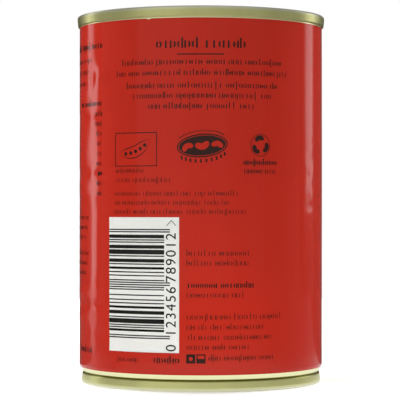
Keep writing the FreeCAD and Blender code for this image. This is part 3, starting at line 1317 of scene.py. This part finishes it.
# %% Foot of the shown side
CODES = [(-26.1, -18.8, 8.3, 1.1, 0.14, 60), (-14.0, -6.0, 8.2, 1.6, 0.24, 61)]
SQUARE = 2.6
SQUARE_LEFT = -4.2
SQUARE_FOOT = 8.3
SQUARE_GAP = 0.3
SQUARE_LINE = 0.35
DOT_RADIUS = 0.55


def draw_foot(bm):
    """The two codes and the two square marks."""
    for code in CODES:
        hinted_line(bm, *code)
    left, foot = SQUARE_LEFT, SQUARE_FOOT
    bar(bm, left, foot, left + SQUARE, foot + SQUARE)
    left += SQUARE + SQUARE_GAP
    right = left + SQUARE
    frame_line(bm, left, foot, right, foot + SQUARE, SQUARE_LINE)
    bar(bm, left + SQUARE_LINE, foot + SQUARE_LINE, right - SQUARE_LINE, foot + SQUARE / 2)


def draw_square_dot(bm):
    """The open dot in the solid square."""
    disc(bm, (SQUARE_LEFT + SQUARE / 2, SQUARE_FOOT + SQUARE / 2), DOT_RADIUS)


print_piece("print_foot", draw_foot, OVERPRINT)
print_piece("print_foot_dot", draw_square_dot, RED_INK, layer=2)

# %% [markdown]
# ## The food table
# To the left, round the side of the can, stands the table of what is in the food: a bold
# heading, rows with a word on the left and a figure on the right, and a closing note. The lines
# above and below the rows are listed: left and right end, foot, size, weight and seed. The rows
# come from a loop, with chance lengths, and their figures end flush at the table's right edge.

# %% Food table
FOOD_LEFT = -78.0
FOOD_RIGHT = -32.7
FOOD_TOP_LINES = [
    (-62.0, FOOD_RIGHT, 99.0, 1.6, 0.27, 71),
    (FOOD_LEFT, -38.5, 95.2, 1.2, 0.15, 72),
    (FOOD_LEFT, -41.0, 91.9, 1.2, 0.15, 73),
    (FOOD_LEFT, -43.5, 88.6, 1.2, 0.15, 74),
    (FOOD_LEFT, -66.0, 82.2, 1.4, 0.26, 76),
    (-47.5, FOOD_RIGHT, 82.2, 1.4, 0.26, 77),
]
FOOD_END_LINES = [
    (FOOD_LEFT, -41.0, 49.0, 1.15, 0.14, 100),
    (FOOD_LEFT, -42.2, 46.1, 1.15, 0.14, 101),
    (FOOD_LEFT, -43.4, 43.2, 1.15, 0.14, 102),
    (FOOD_LEFT, -41.0, 38.5, 1.15, 0.14, 103),
    (FOOD_LEFT, -42.2, 35.6, 1.15, 0.14, 104),
    (FOOD_LEFT, -43.4, 32.7, 1.15, 0.14, 105),
    (FOOD_LEFT, -58.0, 9.8, 1.5, 0.26, 110),
    (-49.0, -38.6, 9.8, 1.5, 0.26, 111),
]
FOOD_HEAD = 79.3
FOOD_PITCH = 2.9
FOOD_ROWS = 9
FOOD_SIZE = 1.2
FOOD_SEED = 70
WORDS_SEED = 80
FIGURES_SEED = 90
BOLD_ROWS = (0, 6)
BOLD = 0.26
WORDS_LEAST = 9
WORDS_MORE = 14
FIGURES_LEAST = 2.4
FIGURES_MORE = 1.6


def draw_food_table(bm):
    """Heading, introduction, rows and closing lines."""
    chance = np.random.default_rng(FOOD_SEED)
    for line in FOOD_TOP_LINES:
        hinted_line(bm, *line)
    for row in range(FOOD_ROWS):
        foot = FOOD_HEAD - FOOD_PITCH * row
        weight = BOLD if row in BOLD_ROWS else PLAIN
        words_end = FOOD_LEFT + (WORDS_LEAST + WORDS_MORE * chance.random())
        figures_start = FOOD_RIGHT - (FIGURES_LEAST + FIGURES_MORE * chance.random())
        hinted_line(bm, FOOD_LEFT, words_end, foot, FOOD_SIZE, weight, WORDS_SEED + row)
        hinted_line(bm, figures_start, FOOD_RIGHT, foot, FOOD_SIZE, weight, FIGURES_SEED + row)
    for line in FOOD_END_LINES:
        hinted_line(bm, *line)


print_piece("print_food_table", draw_food_table, OVERPRINT)

# %% [markdown]
# On the other side, just out of the viewer's sight, a narrow column tells what is inside and how
# to keep it: two short paragraphs, each under a bold word. For each paragraph a row gives the
# height of its bold word, how many lines it has, and how far the last one reaches.

# %% Side column
COLUMN_LEFT = 60.5
COLUMN_WIDTH = 17.5
COLUMN_PITCH = 2.9
PARAGRAPHS = [(90.0, 5, 0.62), (66.0, 7, 0.35)]
BOLD_WORD = 11
BOLD_SIZE = 1.4
BOLD_WORD_SEED = 120
LINE_SEED = 130
SEEDS_APART = 10
RAGGED = 0.06


def draw_side_column(bm):
    """Two paragraphs: a bold word, full lines and a shorter last line."""
    for number, (head, lines, last) in enumerate(PARAGRAPHS):
        bold_end = COLUMN_LEFT + BOLD_WORD
        hinted_line(bm, COLUMN_LEFT, bold_end, head, BOLD_SIZE, BOLD, BOLD_WORD_SEED + number)
        for line in range(1, lines + 1):
            reach = COLUMN_WIDTH * (last if line == lines else 1 - RAGGED * (line % 3))
            foot = head - COLUMN_PITCH * line
            seed = LINE_SEED + SEEDS_APART * number + line
            hinted_line(bm, COLUMN_LEFT, COLUMN_LEFT + reach, foot, NOTE_LETTER, PLAIN, seed)


print_piece("print_side_column", draw_side_column, OVERPRINT)

# %% [markdown]
# ## The front
# The side that sells the can faces away. It carries no name: a dark plate with a cream border
# where a name would stand, and under it a cream dish of kidney beans. The fields could be cut out
# of one another, but it is simpler to lay them like real inks, each a layer above the one before.

# %% Plate and dish
FRONT = ROUND_THE_CAN / 2
PLATE = (FRONT - 33, 72.0, FRONT + 33, 98.0)
PLATE_BORDER = 1.2
PLATE_RULE = 2.2
PLATE_RULE_LINE = 0.35
FRAME_LEVELS = (102.5, 8.0)
FRAME_HALF = 0.3
DISH_CENTRE = (FRONT, 38.0)
DISH_RADIUS = 28.0
DISH_RIM_LINE = 0.9
DISH_STEPS = 96
CREAM_INK = ink_material("cream_ink_varnished", (0.80, 0.70, 0.48), drift=0.03)
GREEN_INK = ink_material("dark_green_ink_varnished", (0.016, 0.030, 0.016))


def inset_plate(inset):
    """The plate's four edges, moved inwards."""
    left, foot, right, head = PLATE
    return (left + inset, foot + inset, right - inset, head - inset)


def draw_front_cream(bm):
    """The plate's border, the dish and the two thin lines that frame the front."""
    bar(bm, *PLATE)
    disc(bm, DISH_CENTRE, DISH_RADIUS)
    for level in FRAME_LEVELS:
        bar(bm, PLATE[0], level - FRAME_HALF, PLATE[2], level + FRAME_HALF)


def draw_front_green(bm):
    """The dark plate and the dish's dark rim."""
    bar(bm, *inset_plate(PLATE_BORDER))
    rim = DISH_RADIUS - PLATE_BORDER
    ring(bm, DISH_CENTRE, rim, rim, DISH_RIM_LINE, steps=DISH_STEPS)


def draw_front_rule(bm):
    """A cream line inside the dark plate."""
    frame_line(bm, *inset_plate(PLATE_RULE), PLATE_RULE_LINE)


print_piece("print_front_cream", draw_front_cream, CREAM_INK)
print_piece("print_front_green", draw_front_green, GREEN_INK, layer=2)
print_piece("print_front_rule", draw_front_rule, CREAM_INK, layer=3)

# %% [markdown]
# The beans could be scattered, but then they would pile up here and leave gaps there. So one lies
# in the middle and the rest in two rings, each a little out of line, and each has a light fleck
# on its back.

# %% Beans in the dish
BEAN_LENGTH = 9.0
BEAN_SEED = 120
# Each ring of beans: how many, and how far out.
BEAN_RINGS = [(6, 9.6), (12, 18.6)]
MIDDLE_LEAN = 20.0
TURN_CHANCE = 0.25
AWAY_CHANCE = 0.05
LEAN_CHANCE = 40
FLECK_RADIUS = 0.49 * BEAN_LENGTH
FLECK_LINE = 0.45
FLECK_START = 68
FLECK_END = 128
FLECK_STEPS = 8
BEAN_INK = ink_material("bean_red_ink_varnished", (0.17, 0.016, 0.012), drift=0.2)
FLECK_INK = ink_material("bean_fleck_ink_varnished", (0.50, 0.16, 0.11))


def bean_places():
    """Centre and lean of each bean: one in the middle and two rings round it."""
    chance = np.random.default_rng(BEAN_SEED)
    places = [(DISH_CENTRE, MIDDLE_LEAN)]
    for count, radius in BEAN_RINGS:
        for number in range(count):
            turn = 2 * math.pi * (number + TURN_CHANCE * chance.random()) / count
            away = radius * (1 + AWAY_CHANCE * chance.uniform(-1, 1))
            lean = math.degrees(turn) + chance.uniform(-LEAN_CHANCE, LEAN_CHANCE)
            across = DISH_CENTRE[0] + away * math.cos(turn)
            up = DISH_CENTRE[1] + away * math.sin(turn)
            places.append(((across, up), lean))
    return places


def draw_beans(bm):
    """The beans in the dish."""
    for spot, lean in bean_places():
        bean(bm, spot, BEAN_LENGTH, lean)


def draw_flecks(bm):
    """A light fleck along each bean's back, round the middle of its bend."""
    inwards = BEAN_MIDDLE * BEAN_BEND * BEAN_LENGTH
    for (across, up), lean in bean_places():
        turn = math.radians(90 + lean)
        middle = (across - inwards * math.cos(turn), up - inwards * math.sin(turn))
        start, end = lean + FLECK_START, lean + FLECK_END
        ring(bm, middle, FLECK_RADIUS, FLECK_RADIUS, FLECK_LINE, start, end, FLECK_STEPS)


print_piece("print_front_beans", draw_beans, BEAN_INK, layer=3)
print_piece("print_front_flecks", draw_flecks, FLECK_INK, layer=4)

# %% [markdown]
# ## Lacquered tinplate
# The ends and the neck are tinplate under a clear gold lacquer, so they look like pale brass:
# metallic, not quite smooth, and a little greener than brass. Seaming rolls and the press leave
# very fine lines that run round the can. The foot and the crown of the top seam, which rub on
# shelves and on other cans, are worn towards bare tin, and the crevice over the bottom seam is
# painted dark, as painted shade. The wear could be painted by hand, but it goes by height alone,
# so the height drives it.


# %% Gold lacquer
RUBBED_REACH = 1.35 * MM
MOST_RUBBED = 0.9
BARE_TIN = (0.80, 0.80, 0.66)
CREVICE_HEIGHT = 3.35 * MM
CREVICE_REACH = 0.25 * MM
CREVICE_PAINTED_SHADE = (0.28, 0.27, 0.07)
LINE_STRENGTH = 0.2
SCUFF_SHARE = 0.35
POLISH = (0.85, 1.2)
# How fine each kind of unevenness in the lacquer is, in bumps per metre.
LINE_SCALE = 5200.0
CLOUD_SCALE = 130.0
SCUFF_SCALE = 950.0
POLISH_SCALE = 420.0


def round_the_axis(tree, split):
    """A place that has only a distance from the axis and a height, for lines round the can."""
    flat = add_node(
        tree, "ShaderNodeCombineXYZ", {"X": split.outputs["X"], "Y": split.outputs["Y"]}
    )
    out = add_node(tree, "ShaderNodeVectorMath", {0: flat.outputs[0]}, operation="LENGTH")
    place = {"X": out.outputs["Value"], "Y": 0.0, "Z": split.outputs["Z"]}
    return add_node(tree, "ShaderNodeCombineXYZ", place).outputs[0]


def rubbed_share(tree, height):
    """How far the lacquer is rubbed off, by the distance from the can's middle height."""
    above_middle = add_node(
        tree, "ShaderNodeMath", {0: height, 1: can_height / 2}, operation="SUBTRACT"
    )
    from_middle = add_node(
        tree, "ShaderNodeMath", {0: above_middle.outputs[0]}, operation="ABSOLUTE"
    )
    worn = {
        "Value": from_middle.outputs[0],
        "From Min": can_height / 2 - RUBBED_REACH,
        "From Max": can_height / 2,
        "To Max": MOST_RUBBED,
    }
    node = add_node(tree, "ShaderNodeMapRange", worn, interpolation_type="SMOOTHSTEP")
    return node.outputs["Result"]


def painted_crevice_shade(tree, height):
    """One in the crevice over the bottom seam, where shade is painted, and nought elsewhere."""
    band = {0: height, 1: CREVICE_HEIGHT, 2: CREVICE_REACH}
    return add_node(tree, "ShaderNodeMath", band, operation="COMPARE").outputs[0]


def lacquer_material(name, gold, shade, roughness, line_depth):
    """Gold lacquer on tinplate, with rolled lines, rubbed rims and painted shade in the crevice.
    """
    material, tree, output = new_material(name)
    where = add_node(tree, "ShaderNodeTexCoord").outputs["Object"]
    split = add_node(tree, "ShaderNodeSeparateXYZ", {0: where})
    height = split.outputs["Z"]
    lines = noise(tree, round_the_axis(tree, split), LINE_SCALE, detail=2.0)
    cloud = noise(tree, where, CLOUD_SCALE)
    scuff = noise(tree, where, SCUFF_SCALE, detail=5.0, roughness=0.7)
    surface = blend(tree, cloud, colour(*shade), colour(*gold))
    surface = blend(tree, rubbed_share(tree, height), surface, colour(*BARE_TIN))
    # Painted shade: the crevice over the bottom seam is coloured dark where shade falls.
    surface = blend(tree, painted_crevice_shade(tree, height), surface, colour(*CREVICE_PAINTED_SHADE))
    relief = blend(tree, SCUFF_SHARE, lines, scuff)
    bump = add_node(
        tree,
        "ShaderNodeBump",
        {"Strength": LINE_STRENGTH, "Distance": line_depth, "Height": relief},
    )
    polish = noise(tree, where, POLISH_SCALE)
    shine = spread(tree, polish, roughness * POLISH[0], roughness * POLISH[1])
    shader = add_node(
        tree,
        "ShaderNodeBsdfPrincipled",
        {
            "Base Color": surface,
            "Metallic": 1.0,
            "Roughness": shine,
            "Normal": bump.outputs[0],
        },
    )
    tree.links.new(shader.outputs[0], output.inputs["Surface"])
    return material


print("the lacquer is rubbed within", RUBBED_REACH / MM, "mm of the can's two ends")

# %% [markdown]
# These pieces could be modelled again, but the CAD solids already have the seams' true form. So
# they keep their own shape and only change their finish. The body's lacquer, which shows at the
# neck alone, is paler than that of the ends.

# %% Dress the steel
END_GOLD = (0.75, 0.74, 0.32)
END_SHADE = (0.60, 0.59, 0.245)
END_ROUGHNESS = 0.33
END_LINES = 0.012 * MM
BODY_GOLD = (0.93, 0.915, 0.55)
BODY_SHADE = (0.88, 0.865, 0.51)
BODY_ROUGHNESS = 0.3
BODY_LINES = 0.01 * MM
END_LACQUER = lacquer_material(
    "gold_end_lacquer", END_GOLD, END_SHADE, END_ROUGHNESS, END_LINES
)
BODY_LACQUER = lacquer_material(
    "gold_body_lacquer", BODY_GOLD, BODY_SHADE, BODY_ROUGHNESS, BODY_LINES
)


def dress(node_name, material):
    """Gives a CAD node its finish in place of the plain one."""
    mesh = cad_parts[node_name].data
    mesh.materials.clear()
    mesh.materials.append(material)
    print(node_name, "faces:", len(mesh.polygons))


dress("top_end", END_LACQUER)
dress("bottom_end", END_LACQUER)
dress("can_body", BODY_LACQUER)
